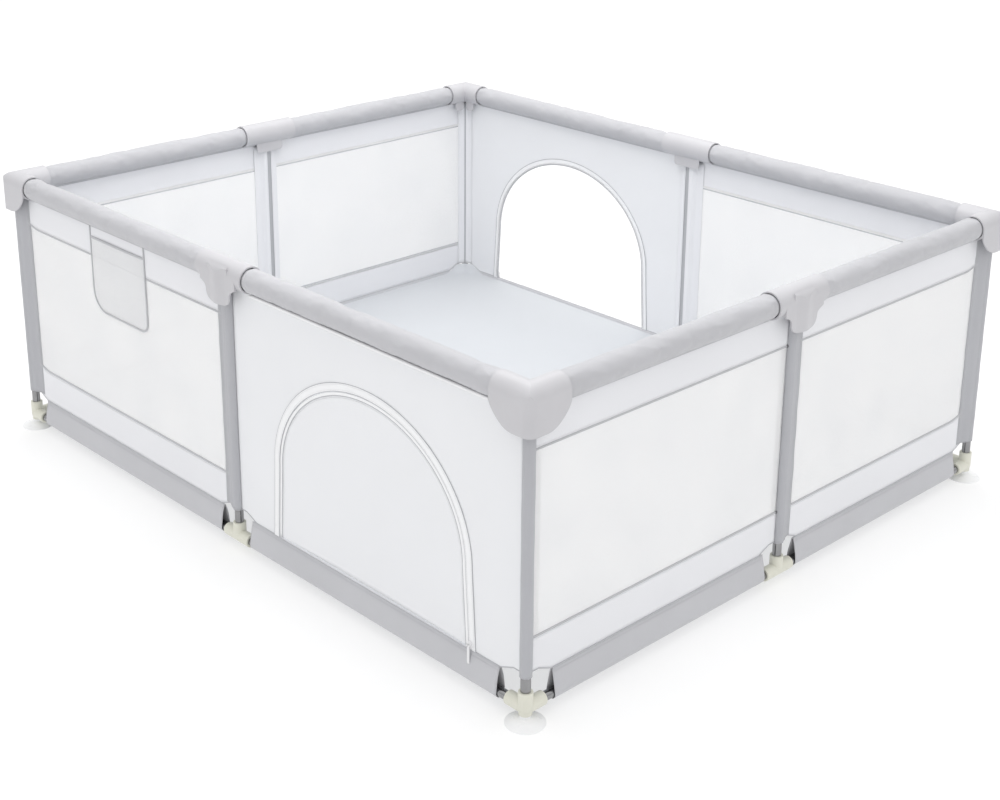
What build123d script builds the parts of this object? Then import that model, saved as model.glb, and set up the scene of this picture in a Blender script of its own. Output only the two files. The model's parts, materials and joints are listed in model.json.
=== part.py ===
from build123d import *
import os
from math import cos, radians, sin

# Large rectangular fabric playpen, in millimetres, +Z up.
# The origin is on the floor, below the middle of the enclosure. +X runs along the long side,
# and the front side, with the closed door, faces -Y.

# Whole object
LENGTH = 1740.0  # between the corner posts' axes along X
WIDTH = 1450.0  # between the corner posts' axes along Y
RAIL_Z = 630.0  # axis of the padded top rails
FLOOR_RAIL_Z = 33.0  # axis of the bottom tubes

# Steel tubes
TUBE_R = 9.5
TUBE_WALL = 1.0
SOCKET_R = 9.6  # bore of every moulded socket that takes a tube
TOP_TUBE_CORNER_GAP = 10.5
TOP_TUBE_MID_GAP = 1.0
BOTTOM_TUBE_CORNER_GAP = 16.0
BOTTOM_TUBE_MID_GAP = 12.0
POST_BOTTOM_Z = 49.0
POST_TOP_Z = 618.0

# Foam rail pads
PAD_R = 25.0
PAD_BORE_R = 9.7
PAD_CORNER_GAP = 27.0
PAD_MID_GAP = 15.0

# Moulded caps on the posts
CAP_R = 28.5
CAP_BORE_R = 25.3
CORNER_ARM = 72.0
MID_ARM = 78.0
APRON_WALL = 4.0
APRON_BOTTOM_Z = 568.0
SHIELD_FLAT = 14.0  # the corner caps' aprons are shield-shaped, flat at the foot
SHIELD_SIDE = (54.0, 587.0)
SHIELD_TOP_Z = 613.0
MID_APRON = 40.0
APRON_ROUND = 20.0
FLARE_Z = 607.0  # where the apron's flared edge meets the end of the arm
FLARE = 20.0  # how much wider the apron is there
CORNER_ROUND = 18.0  # rounding of the corner cap's ridge
CORNER_FILL = 17.0  # the ridge is solid as far as this from the post's axis
CAP_SOCKET_R = 14.0
CAP_SOCKET_Z = 605.0
BULGE_HALF = 34.0  # the mid caps swell out in front of the post
BULGE = 5.5
SKIRT_Y = (14.5, 17.5)  # short plates under the arms, inside the playpen
SKIRT_Z = (582.0, 609.0)
SKIRT_ROUND = 9.0
CORNER_SKIRT = (22.0, 52.0)
MID_SKIRT = 41.0
SEAM_SLOT = 2.4  # slot under each cap arm that the panel's top edge runs into
SEAM_SLOT_Z = 597.0

# Sleeves of Oxford cloth round the tubes
SLEEVE_R = 12.0
SLEEVE_BORE_R = 9.8
POST_SLEEVE_BOTTOM_Z = 95.0
POST_SLEEVE_TOP_Z = 601.0
HEM_R = 11.5
HEM_BORE_R = 9.7
HEM_TOP_Z = 84.0
HEM_TOP_HALF = 2.5
HEM_CORNER_GAP = 64.0
HEM_MID_GAP = 52.0

# Moulded connectors at the foot of each post
JOINT_R = 14.0
JOINT_CORNER_ARM = 43.0
JOINT_MID_ARM = 42.0
JOINT_TOP_Z = 65.0
JOINT_LIP = 1.5  # rounding of the socket mouths
BOSS_R = 12.5
BOSS_BOTTOM_Z = 18.6

# Suction cups
CUP_R = 38.0
CUP_NECK_R = 9.5
CUP_TOP_Z = 18.0
CUP_BELL = (20.0, 9.0)  # radius and height where the rim's slope ends
CUP_RIM = 1.6
CUP_RIM_WIDTH = 8.0
CUP_HOLLOW = 5.0  # depth of the hollow underside
STEM_R = 5.0
STEM_TOP_Z = 30.0
STEM_CLEARANCE = 0.08

# Fabric walls
WALL = 1.4
NET = 0.6
WALL_TOP_Z = 604.6
WALL_BOTTOM_Z = HEM_TOP_Z
WALL_CLEAR = 12.6  # from a post's axis to the wall's edge
BELT_RISE = 14.0  # how far the lower edge rises where it passes over a connector
BELT_FLAT = 30.0  # from a post's axis to where the raised edge starts to fall
WINDOW_SIDE = 40.0
WINDOW_BOTTOM_Z = 167.0
WINDOW_TOP_Z = 530.0
WINDOW_ROUND = 18.0

# Arched doors: an elliptical top on two nearly upright legs
ARCH_Z = 250.0  # height of the ellipse's centre
ARCH_HALF = 279.0  # half width of the doorway there
ARCH_RISE = 238.0
ARCH_FOOT_HALF = 289.0
SILL_Z = 88.0
BINDING = 17.0  # width of the zipper's tape round the doorway
BINDING_THICK = 1.0
DOOR_GAP = 1.2  # between the flap and the doorway
FLAP_THICK = 1.0
HINGE_Z = 84.0
HINGE_OUT = 3.0  # the flaps turn about a line this far outside the wall plane

# The open back flap lies folded in pleats behind the bottom rail
PLEATS = 5
PLEAT_PITCH = 1.6
PLEAT_TRIM = 0.4
FLAP_DROP_DEG = 162.0  # from closed to folded down

# Zipper sliders and their pulls
SLIDER = (9.0, 4.4, 15.0)
SLIDER_OUT = 2.0  # from the wall plane to the slider's back
SLIDER_Z = 96.0
SLIDER_SIDE = 5.2  # centre of the slider, outside the zipper's line
SLIDER_ROUND = 2.5
LUG_OUT = 3.4  # from the slider's middle to the middle of each lug
LUG_REACH = 3.4  # how far the lugs stand out of the slider
PULL = (6.0, 1.4, 34.0)
PULL_ROUND = 2.4
PIN_R = 0.9
PIN_CLEARANCE = 0.25

# Net pocket outside the front wall
POCKET_X = (-540.0, -318.0)
POCKET_BOTTOM_Z = 402.0
POCKET_MOUTH_Z = 575.0
POCKET_DEPTH = 9.0
POCKET_WALL = 1.0
POCKET_ROUND = (50.0, 24.0)

# Floor sheet
MAT_CLEAR = 13.5
MAT_TOP_Z = 80.0
MAT_THICK = 3.0

SIDES = {"front": 0, "right": 90, "back": 180, "left": 270}
CORNERS = {"front_left": 0, "front_right": 90, "back_right": 180, "back_left": 270}
HALF_NAMES = {
    "front": ("front_mesh_panel", "front_door_panel"),
    "right": ("right_front_mesh_panel", "right_back_mesh_panel"),
    "back": ("back_mesh_panel", "back_door_panel"),
    "left": ("left_back_mesh_panel", "left_front_mesh_panel"),
}


def side_length(side):
    return LENGTH if side in ("front", "back") else WIDTH


def place_side(shape, side):
    """Moves a shape drawn on a wall that faces -Y at y = 0 to its side of the playpen."""
    reach = (WIDTH if side in ("front", "back") else LENGTH) / 2
    return shape.moved(Location((0, 0, 0), (0, 0, SIDES[side])) * Location((0, -reach, 0)))


def place_corner(shape, corner):
    """Moves a shape drawn with its arms along +X and +Y to a corner of the playpen."""
    x = LENGTH / 2 if "right" in corner else -LENGTH / 2
    y = WIDTH / 2 if "back" in corner else -WIDTH / 2
    return shape.moved(Location((x, y, 0), (0, 0, CORNERS[corner])))


def rod(radius, start, end):
    """Round bar from one point to another."""
    start, end = Vector(start), Vector(end)
    plane = Plane(origin=start, z_dir=end - start)
    return extrude(plane * Circle(radius), (end - start).length)


def block(x, y, z):
    """Box between three pairs of limits."""
    middle = [(a + b) / 2 for a, b in (x, y, z)]
    size = [b - a for a, b in (x, y, z)]
    return Pos(*middle) * Box(*size)


def upright(profile, y_from, y_to):
    """Extrudes a profile drawn with x across and y up, between two distances from the wall plane."""
    plane = Plane(origin=(0, y_from, 0), x_dir=(1, 0, 0), z_dir=(0, -1, 0))
    return extrude(plane * profile, y_from - y_to)


def tube(start, end):
    return rod(TUBE_R, start, end) - rod(TUBE_R - TUBE_WALL, start, end)


# Frame of tubes

def rail_tubes():
    parts = []
    for side in SIDES:
        half = side_length(side) / 2
        for sign in (-1, 1):
            top = tube(
                (sign * (half - TOP_TUBE_CORNER_GAP), 0, RAIL_Z),
                (sign * TOP_TUBE_MID_GAP, 0, RAIL_Z),
            )
            bottom = tube(
                (sign * (half - BOTTOM_TUBE_CORNER_GAP), 0, FLOOR_RAIL_Z),
                (sign * BOTTOM_TUBE_MID_GAP, 0, FLOOR_RAIL_Z),
            )
            parts += [place_side(top, side), place_side(bottom, side)]
    return parts


def post_tubes():
    post = tube((0, 0, POST_BOTTOM_Z), (0, 0, POST_TOP_Z))
    at_corners = [place_corner(post, corner) for corner in CORNERS]
    return at_corners + [place_side(post, side) for side in SIDES]


# Padded top rails

def rail_pads(side):
    half = side_length(side) / 2
    pads = []
    for sign in (-1, 1):
        ends = (sign * (half - PAD_CORNER_GAP), 0, RAIL_Z), (sign * PAD_MID_GAP, 0, RAIL_Z)
        pads.append(place_side(rod(PAD_R, *ends) - rod(PAD_BORE_R, *ends), side))
    return pads


# Caps

def shield_half():
    """Outline of a corner cap's apron on one wall, from the ridge out."""
    foot, shoulder = (SHIELD_FLAT, APRON_BOTTOM_Z), (CORNER_ARM, SHIELD_TOP_Z)
    with BuildLine() as line:
        Polyline((0, RAIL_Z), (0, APRON_BOTTOM_Z), foot)
        Spline(foot, SHIELD_SIDE, shoulder, tangents=((1, 0.05), (0.35, 1)))
        Polyline(shoulder, (CORNER_ARM, RAIL_Z), (0, RAIL_Z))
    return make_face(line.line)


def apron_half(edge):
    """Half of a mid cap's apron, from its middle line out: it narrows from the arms to a rounded bottom."""
    bottom, wide = APRON_BOTTOM_Z, edge + FLARE
    with BuildLine() as line:
        Polyline((0, RAIL_Z), (0, bottom), (edge - APRON_ROUND, bottom))
        RadiusArc((edge - APRON_ROUND, bottom), (edge, bottom + APRON_ROUND), -APRON_ROUND)
        Spline((edge, bottom + APRON_ROUND), (wide, FLARE_Z), tangents=((0, 1), (1, 0.5)))
        Polyline((wide, FLARE_Z), (wide, RAIL_Z), (0, RAIL_Z))
    return make_face(line.line)


def apron_plate(face):
    """Upright plate outside the wall, flush with the front of the arms."""
    return upright(face, -CAP_R + APRON_WALL, -CAP_R)


def skirt(x_from, x_to):
    """Short plate with rounded lower corners under an arm, on the playpen's inner side."""
    plate = block((x_from, x_to), SKIRT_Y, SKIRT_Z)
    return fillet(plate.edges().filter_by(Axis.Y).sort_by(Axis.Z)[:2], SKIRT_ROUND)


def seam_slot(x_from, x_to):
    """Slot under a cap's arm, where the wall's top edge goes in."""
    return block((x_from, x_to), (-SEAM_SLOT / 2, SEAM_SLOT / 2), (SEAM_SLOT_Z, RAIL_Z))


def mirror_arm(shape):
    """Mirrors a corner shape between its two arms."""
    return shape.mirror(Plane(origin=(0, 0, 0), z_dir=(1, -1, 0)))


def corner_cap():
    low, reach = APRON_BOTTOM_Z - 1, CORNER_ARM + 1
    past = Pos(-CAP_R / 2, (APRON_BOTTOM_Z + RAIL_Z) / 2) * Rectangle(CAP_R, RAIL_Z - APRON_BOTTOM_Z)
    wing = rod(CAP_R, (-CAP_R, 0, RAIL_Z), (CORNER_ARM, 0, RAIL_Z))
    wing += apron_plate(shield_half() + past)
    wing += block((-CAP_R, -CORNER_FILL), (-CAP_R, -CORNER_FILL), (APRON_BOTTOM_Z, RAIL_Z))
    wing += skirt(*CORNER_SKIRT)
    triangle = make_face(Polyline((-reach, -reach), (reach, -reach), (reach, reach), close=True))
    wing &= Pos(0, 0, low) * extrude(triangle, 2 * CAP_R + RAIL_Z - low)
    round_corner = block((-CAP_R, reach), (-CAP_R, reach), (low, RAIL_Z + CAP_R + 1))
    ridge = round_corner.edges().filter_by(Axis.Z).sort_by(lambda e: e.center().X + e.center().Y)[0]
    body = (wing + mirror_arm(wing)) & fillet(ridge, CORNER_ROUND)
    body += rod(CAP_SOCKET_R, (0, 0, CAP_SOCKET_Z), (0, 0, RAIL_Z))
    for arm in ((1, 0), (0, 1)):
        inner = (arm[0] * (PAD_CORNER_GAP - 1), arm[1] * (PAD_CORNER_GAP - 1), RAIL_Z)
        outer = (arm[0] * (CORNER_ARM + 1), arm[1] * (CORNER_ARM + 1), RAIL_Z)
        body -= rod(CAP_BORE_R, inner, outer)
        near = (arm[0] * (TOP_TUBE_CORNER_GAP - 1), arm[1] * (TOP_TUBE_CORNER_GAP - 1), RAIL_Z)
        body -= rod(SOCKET_R, near, outer)
    slot = seam_slot(WALL_CLEAR - 1, CORNER_ARM + 1)
    body -= slot
    body -= mirror_arm(slot)
    body -= rod(SOCKET_R, (0, 0, POST_SLEEVE_TOP_Z), (0, 0, POST_TOP_Z + 1))
    return body


def mid_bulge(outline):
    """Soft swelling in front of the post, from the top of the rail to the foot of the apron."""
    back, edge, front = -CAP_R + APRON_WALL, -CAP_R + 0.4, -CAP_R - BULGE
    with BuildLine() as line:
        Spline((-BULGE_HALF, edge), (0, front), (BULGE_HALF, edge), tangents=((1, 0), (1, 0)))
        Polyline((BULGE_HALF, edge), (BULGE_HALF, back), (-BULGE_HALF, back), (-BULGE_HALF, edge))
    height = RAIL_Z + CAP_R - APRON_BOTTOM_Z
    swelling = Pos(0, 0, APRON_BOTTOM_Z) * extrude(make_face(line.line), height)
    crown = rod(CAP_R, (-BULGE_HALF, -BULGE, RAIL_Z), (BULGE_HALF, -BULGE, RAIL_Z))
    return swelling & (crown + upright(outline, back, front - 1))


def mid_cap():
    body = rod(CAP_R, (-MID_ARM, 0, RAIL_Z), (MID_ARM, 0, RAIL_Z))
    half = apron_half(MID_APRON)
    outline = half + half.mirror(Plane.YZ)
    body += apron_plate(outline)
    body += mid_bulge(outline)
    body += skirt(-MID_SKIRT, MID_SKIRT)
    body += rod(CAP_SOCKET_R, (0, 0, CAP_SOCKET_Z), (0, 0, RAIL_Z))
    for sign in (-1, 1):
        inner, outer = (sign * (PAD_MID_GAP - 1), 0, RAIL_Z), (sign * (MID_ARM + 1), 0, RAIL_Z)
        body -= rod(CAP_BORE_R, inner, outer)
        body -= seam_slot(*((WALL_CLEAR - 1, MID_ARM + 1) if sign > 0 else (-MID_ARM - 1, 1 - WALL_CLEAR)))
    body -= rod(SOCKET_R, (-MID_ARM, 0, RAIL_Z), (MID_ARM, 0, RAIL_Z))
    body -= rod(SOCKET_R, (0, 0, POST_SLEEVE_TOP_Z), (0, 0, POST_TOP_Z + 1))
    return body


# Sleeves

def post_sleeve():
    ends = (0, 0, POST_SLEEVE_BOTTOM_Z), (0, 0, POST_SLEEVE_TOP_Z)
    return rod(SLEEVE_R, *ends) - rod(SLEEVE_BORE_R, *ends)


def bottom_sleeves(side):
    """Teardrop hems round the two bottom tubes of a side, narrowing up to the wall's seam."""
    half = side_length(side) / 2
    plane = Plane(origin=(0, 0, 0), x_dir=(0, 1, 0), z_dir=(1, 0, 0))
    neck = Polyline(
        (-HEM_R, FLOOR_RAIL_Z + 2),
        (HEM_R, FLOOR_RAIL_Z + 2),
        (HEM_TOP_HALF, HEM_TOP_Z),
        (-HEM_TOP_HALF, HEM_TOP_Z),
        close=True,
    )
    section = make_face(neck) + Pos(0, FLOOR_RAIL_Z) * Circle(HEM_R)
    section -= Pos(0, FLOOR_RAIL_Z) * Circle(HEM_BORE_R)
    hem = extrude(plane * section, half - HEM_CORNER_GAP - HEM_MID_GAP)
    left = Pos(-half + HEM_CORNER_GAP, 0, 0) * hem
    right = Pos(HEM_MID_GAP, 0, 0) * hem
    return [place_side(left, side), place_side(right, side)]


# Connectors and suction cups

def socket_arm(direction, length):
    """Socket from the connector's middle, with its mouth's outer edge rounded."""
    start = Vector(0, 0, FLOOR_RAIL_Z)
    end = start + Vector(*direction) * length
    arm = rod(JOINT_R, start, end)
    return fillet(arm.faces().sort_by_distance(end)[0].edges(), JOINT_LIP)


def bore_arm(body, direction, gap, length):
    middle, way = Vector(0, 0, FLOOR_RAIL_Z), Vector(*direction)
    return body - rod(SOCKET_R, middle + way * (gap - 1), middle + way * (length + 1))


def corner_connector():
    body = Pos(0, 0, FLOOR_RAIL_Z) * Sphere(JOINT_R)
    for direction in ((1, 0, 0), (0, 1, 0)):
        body += socket_arm(direction, JOINT_CORNER_ARM)
    body += socket_arm((0, 0, 1), JOINT_TOP_Z - FLOOR_RAIL_Z)
    body += rod(BOSS_R, (0, 0, BOSS_BOTTOM_Z), (0, 0, FLOOR_RAIL_Z))
    for direction in ((1, 0, 0), (0, 1, 0)):
        body = bore_arm(body, direction, BOTTOM_TUBE_CORNER_GAP, JOINT_CORNER_ARM)
    body = bore_arm(body, (0, 0, 1), POST_BOTTOM_Z - FLOOR_RAIL_Z, JOINT_TOP_Z - FLOOR_RAIL_Z)
    return body - rod(STEM_R + STEM_CLEARANCE, (0, 0, BOSS_BOTTOM_Z - 1), (0, 0, STEM_TOP_Z + 1))


def mid_connector():
    body = socket_arm((1, 0, 0), JOINT_MID_ARM) + socket_arm((-1, 0, 0), JOINT_MID_ARM)
    body += socket_arm((0, 0, 1), JOINT_TOP_Z - FLOOR_RAIL_Z)
    for direction in ((1, 0, 0), (-1, 0, 0)):
        body = bore_arm(body, direction, BOTTOM_TUBE_MID_GAP, JOINT_MID_ARM)
    return bore_arm(body, (0, 0, 1), POST_BOTTOM_Z - FLOOR_RAIL_Z, JOINT_TOP_Z - FLOOR_RAIL_Z)


def suction_cup():
    """Bell with a flat rim on the floor, a hollow underside, and a stem up into the connector."""
    bell_r, bell_z = CUP_BELL
    neck_z = bell_z + 3.0
    outline = [(0, 0), (CUP_R, 0), (CUP_R, CUP_RIM), (bell_r, bell_z), (CUP_NECK_R, neck_z)]
    outline += [(CUP_NECK_R, CUP_TOP_Z), (STEM_R, CUP_TOP_Z), (STEM_R, STEM_TOP_Z), (0, STEM_TOP_Z)]
    face = make_face(Polyline(*outline, close=True))
    rounded = [v for v in face.vertices() if abs(v.X - bell_r) < 0.01 or abs(v.Y - neck_z) < 0.01]
    bell = revolve(Plane.XZ * fillet(rounded, 3.0), Axis.Z)
    mouth_r = CUP_R - CUP_RIM_WIDTH
    hollow = Cone(mouth_r, mouth_r / 3, CUP_HOLLOW, align=(Align.CENTER, Align.CENTER, Align.MIN))
    hollow = Pos(0, 0, -0.01) * hollow
    return bell - hollow


# Walls

def wall_outline(left, right):
    """Wall between two posts. Its lower edge rises over the connectors at both ends."""
    low, high = WALL_BOTTOM_Z, WALL_BOTTOM_Z + BELT_RISE
    flat, fall = BELT_FLAT - WALL_CLEAR, HEM_CORNER_GAP - WALL_CLEAR
    points = [(left, high), (left + flat, high), (left + fall, low)]
    points += [(right - fall, low), (right - flat, high), (right, high)]
    points += [(right, WALL_TOP_Z), (left, WALL_TOP_Z)]
    return make_face(Polyline(*points, close=True))


def wall_limits(side, half_index):
    half = side_length(side) / 2
    if half_index == 0:
        return -half + WALL_CLEAR, -WALL_CLEAR
    return WALL_CLEAR, half - WALL_CLEAR


def window(left, right, radius):
    centre = ((left + right) / 2, (WINDOW_BOTTOM_Z + WINDOW_TOP_Z) / 2)
    return Pos(*centre) * RectangleRounded(right - left, WINDOW_TOP_Z - WINDOW_BOTTOM_Z, radius)


def mesh_panel(side, half_index):
    """Cloth border with bands above and below, and a net window that fills it."""
    left, right = wall_limits(side, half_index)
    opening = window(left + WINDOW_SIDE, right - WINDOW_SIDE, WINDOW_ROUND)
    border = upright(wall_outline(left, right) - opening, WALL / 2, -WALL / 2)
    net = upright(opening, NET / 2, -NET / 2)
    return [place_side(border, side), place_side(net, side)]


def arch(side, grow):
    """Face of a doorway whose edge is moved out by grow."""
    middle = side_length(side) / 4
    foot_z = SILL_Z
    across, rise, foot = ARCH_HALF + grow, ARCH_RISE + grow, ARCH_FOOT_HALF + grow
    if grow < 0:
        foot_z = SILL_Z - grow
    with BuildLine() as line:
        EllipticalCenterArc((middle, ARCH_Z), across, rise, start_angle=0, arc_size=180)
        Polyline(
            (middle - across, ARCH_Z),
            (middle - foot, foot_z),
            (middle + foot, foot_z),
            (middle + across, ARCH_Z),
        )
    return make_face(line.line)


def door_panel(side):
    left, right = wall_limits(side, 1)
    return [place_side(upright(wall_outline(left, right) - arch(side, 0), WALL / 2, -WALL / 2), side)]


def door_binding(side):
    """Zipper tape sewn round the doorway, on the outer face of the wall."""
    face = -WALL / 2
    return [place_side(upright(arch(side, BINDING) - arch(side, 0), face, face - BINDING_THICK), side)]


def closed_flap(side):
    return upright(arch(side, -DOOR_GAP), FLAP_THICK / 2, -FLAP_THICK / 2)


def pleat_shapes():
    """The back flap cut into equal pleats and folded down, bottom pleat first."""
    flap = closed_flap("back")
    box = flap.bounding_box()
    step = (box.max.Z - box.min.Z) / PLEATS
    hinge, back_again = Location((0, -HINGE_OUT, HINGE_Z)), Location((0, HINGE_OUT, -HINGE_Z))
    fold = hinge * Rotation(FLAP_DROP_DEG, 0, 0) * back_again
    shapes = []
    for index in range(PLEATS):
        low = box.min.Z + index * step + (PLEAT_TRIM if index else 0)
        high = box.min.Z + (index + 1) * step - (PLEAT_TRIM if index < PLEATS - 1 else 0)
        pleat = flap & block((0, LENGTH / 2), (-WALL, WALL), (low, high))
        shapes.append(place_side(pleat.moved(fold), "back"))
        # The first fold turns towards the inside of the playpen, and each next one the other way.
        side = 1 if index % 2 == 0 else -1
        axis_z = box.min.Z + (index + 1) * step
        axis_y = side * PLEAT_PITCH / 2
        axis, back_again = Location((0, axis_y, axis_z)), Location((0, -axis_y, -axis_z))
        fold = fold * axis * Rotation(-side * 180, 0, 0) * back_again
    return shapes


def leg_lean():
    """Direction of the zipper's right leg, up from the sill."""
    lean = Vector(ARCH_HALF - ARCH_FOOT_HALF, 0, ARCH_Z - SILL_Z)
    return lean.normalized()


def slider_centre(side):
    lean = leg_lean()
    foot = side_length(side) / 4 + ARCH_FOOT_HALF + SLIDER_SIDE
    return Vector(foot + lean.X / lean.Z * (SLIDER_Z - SILL_Z), 0, SLIDER_Z)


def slider_body(side):
    """Zipper slider with two lugs that hold the pull's pin."""
    wide, thick, high = SLIDER
    centre = slider_centre(side)
    back = -SLIDER_OUT
    face = back - thick
    body = Pos(centre.X, back - thick / 2, centre.Z) * Box(wide, thick, high)
    body = fillet(body.edges().filter_by(Axis.Y), SLIDER_ROUND)
    for sign in (-1, 1):
        x = centre.X + sign * LUG_OUT
        body += block((x - 0.8, x + 0.8), (face - LUG_REACH, face + 0.2), (centre.Z - 2.0, centre.Z + 2.0))
    pin_y = face - LUG_REACH / 2
    pin = rod(PIN_R + PIN_CLEARANCE, (centre.X - wide, pin_y, centre.Z), (centre.X + wide, pin_y, centre.Z))
    return [place_side(body - pin, side)]


def slider_pull(side):
    """Flat pull that hangs from its pin between the slider's lugs."""
    wide, thick, high = PULL
    centre = slider_centre(side)
    pin_y = -SLIDER_OUT - SLIDER[1] - LUG_REACH / 2
    tab_top = centre.Z - 3.0
    neck_z = (tab_top - 2.0, centre.Z + 1.2)
    neck = block((centre.X - 1.8, centre.X + 1.8), (pin_y - 0.7, pin_y + 0.7), neck_z)
    tab = Pos(centre.X, pin_y, tab_top - high / 2) * Box(wide, thick, high)
    tab = fillet(tab.edges().filter_by(Axis.Y), PULL_ROUND)
    pin_half = LUG_OUT + 0.7
    pin = rod(PIN_R, (centre.X - pin_half, pin_y, centre.Z), (centre.X + pin_half, pin_y, centre.Z))
    return [place_side(neck + tab + pin, side)]


def pocket():
    """Flat pouch of net, open at the top, sewn to the outside of the front wall."""
    left, right = POCKET_X
    points = [(left, POCKET_BOTTOM_Z), (right, POCKET_BOTTOM_Z)]
    points += [(right, POCKET_MOUTH_Z), (left, POCKET_MOUTH_Z)]
    face = make_face(Polyline(*points, close=True))
    low = face.vertices().sort_by(Axis.Y)[:2].sort_by(Axis.X)
    face = fillet(low[0], POCKET_ROUND[0])
    low = face.vertices().filter_by(lambda v: v.Y < POCKET_BOTTOM_Z + 0.01).sort_by(Axis.X)
    face = fillet(low[-1], POCKET_ROUND[1])
    back = -WALL / 2
    shell = upright(face, back, back - POCKET_DEPTH)
    room = shell.bounding_box()
    inner = offset(face, -POCKET_WALL, kind=Kind.INTERSECTION)
    hollow = upright(inner, back - POCKET_WALL, back - POCKET_DEPTH + POCKET_WALL)
    hollow += block(
        (left + POCKET_WALL, right - POCKET_WALL),
        (back - POCKET_DEPTH + POCKET_WALL, back - POCKET_WALL),
        (POCKET_MOUTH_Z - 30, room.max.Z + 1),
    )
    return [place_side(shell - hollow, "front")]


def floor_mat():
    x, y = LENGTH / 2 - MAT_CLEAR, WIDTH / 2 - MAT_CLEAR
    return [block((-x, x), (-y, y), (MAT_TOP_Z - MAT_THICK, MAT_TOP_Z))]


def all_nodes():
    nodes = {"rail_tubes": rail_tubes(), "post_tubes": post_tubes()}
    cap, joint, sleeve, cup = corner_cap(), corner_connector(), post_sleeve(), suction_cup()
    for corner in CORNERS:
        nodes[f"{corner}_corner_cap"] = [place_corner(cap, corner)]
        nodes[f"{corner}_corner_connector"] = [place_corner(joint, corner)]
        nodes[f"{corner}_post_sleeve"] = [place_corner(sleeve, corner)]
        nodes[f"{corner}_suction_cup"] = [place_corner(cup, corner)]
    cap, joint = mid_cap(), mid_connector()
    for side in SIDES:
        nodes[f"{side}_mid_cap"] = [place_side(cap, side)]
        nodes[f"{side}_mid_connector"] = [place_side(joint, side)]
        nodes[f"{side}_mid_post_sleeve"] = [place_side(sleeve, side)]
        nodes[f"{side}_rail_pads"] = rail_pads(side)
        nodes[f"{side}_bottom_sleeves"] = bottom_sleeves(side)
        for half_index, name in enumerate(HALF_NAMES[side]):
            nodes[name] = door_panel(side) if "door" in name else mesh_panel(side, half_index)
    nodes["front_door_flap"] = [place_side(closed_flap("front"), "front")]
    for index, pleat in enumerate(pleat_shapes()):
        nodes[f"back_flap_pleat_{index + 1}"] = [pleat]
    for side in ("front", "back"):
        nodes[f"{side}_zipper_tape"] = door_binding(side)
        nodes[f"{side}_zipper_slider"] = slider_body(side)
        nodes[f"{side}_zipper_pull"] = slider_pull(side)
    nodes["net_pocket"] = pocket()
    nodes["floor_mat"] = floor_mat()
    return nodes


os.makedirs("parts", exist_ok=True)
for node_name, solids in all_nodes().items():
    export_step(Compound(children=[Solid(s.solid().wrapped) for s in solids]), f"parts/{node_name}.step")
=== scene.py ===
import json
import math

import bpy
import numpy as np
from mathutils import Matrix, Vector, noise


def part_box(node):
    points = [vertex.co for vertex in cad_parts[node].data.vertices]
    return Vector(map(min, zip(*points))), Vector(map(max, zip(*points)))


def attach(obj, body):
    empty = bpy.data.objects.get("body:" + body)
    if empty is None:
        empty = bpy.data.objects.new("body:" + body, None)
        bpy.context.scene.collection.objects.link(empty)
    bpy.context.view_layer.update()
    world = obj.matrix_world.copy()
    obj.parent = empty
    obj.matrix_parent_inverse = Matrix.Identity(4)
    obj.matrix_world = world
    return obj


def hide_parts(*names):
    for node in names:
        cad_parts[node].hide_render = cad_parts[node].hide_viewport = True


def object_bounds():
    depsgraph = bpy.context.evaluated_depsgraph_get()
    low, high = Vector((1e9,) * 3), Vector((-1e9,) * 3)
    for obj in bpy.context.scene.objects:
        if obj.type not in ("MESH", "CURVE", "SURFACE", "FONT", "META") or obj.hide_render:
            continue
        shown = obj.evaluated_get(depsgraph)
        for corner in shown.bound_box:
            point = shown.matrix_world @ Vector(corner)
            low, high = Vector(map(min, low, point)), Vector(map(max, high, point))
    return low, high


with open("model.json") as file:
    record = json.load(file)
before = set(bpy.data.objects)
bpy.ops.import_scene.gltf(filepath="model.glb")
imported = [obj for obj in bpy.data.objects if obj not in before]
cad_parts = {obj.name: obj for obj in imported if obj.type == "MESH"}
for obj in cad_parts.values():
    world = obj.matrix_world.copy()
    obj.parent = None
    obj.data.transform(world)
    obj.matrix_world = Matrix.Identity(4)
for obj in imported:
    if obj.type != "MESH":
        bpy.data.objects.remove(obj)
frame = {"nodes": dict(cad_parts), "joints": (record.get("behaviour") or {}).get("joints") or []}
cad_low, cad_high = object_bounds()

# Looks of a large fabric playpen, in metres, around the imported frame. Each wall is worked out in
# its own frame: x runs to the right as seen from outside, -y points outwards, z is up.


# Places read from the frame

def centre(node):
    low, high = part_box(node)
    return (low + high) / 2


TURN = {"front": 0, "right": 90, "back": 180, "left": 270}
post_low, post_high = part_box("front_right_post_sleeve")
HALF_LENGTH = centre("front_right_post_sleeve").x
HALF_WIDTH = -centre("front_right_post_sleeve").y
SLEEVE_R = (post_high.x - post_low.x) / 2
SLEEVE_Z = (post_low.z, post_high.z)
pad_low, pad_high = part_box("front_rail_pads")
RAIL_Z = (pad_low.z + pad_high.z) / 2
PAD_R = (pad_high.z - pad_low.z) / 2
CORNER_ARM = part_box("front_left_corner_cap")[1].x + HALF_LENGTH
MID_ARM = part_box("front_mid_cap")[1].x
wall_low, wall_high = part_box("front_mesh_panel")
WALL_Z = (wall_low.z, wall_high.z)
WALL_CLEAR = -wall_high.x
hem_low, hem_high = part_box("front_bottom_sleeves")
HEM_R = (hem_high.y - hem_low.y) / 2
HEM_TUBE_Z = hem_low.z + HEM_R
HEM_CORNER_GAP = hem_low.x + HALF_LENGTH
HEM_MID_GAP = min(abs(v.co.x) for v in frame["nodes"]["front_bottom_sleeves"].data.vertices)
hinge = next(j for j in frame["joints"] if j["name"] == "front_flap_hinge")
DOOR_X = hinge["origin"][0] if "origin" in hinge else HALF_LENGTH / 2
flap_low, flap_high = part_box("front_door_flap")
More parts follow.
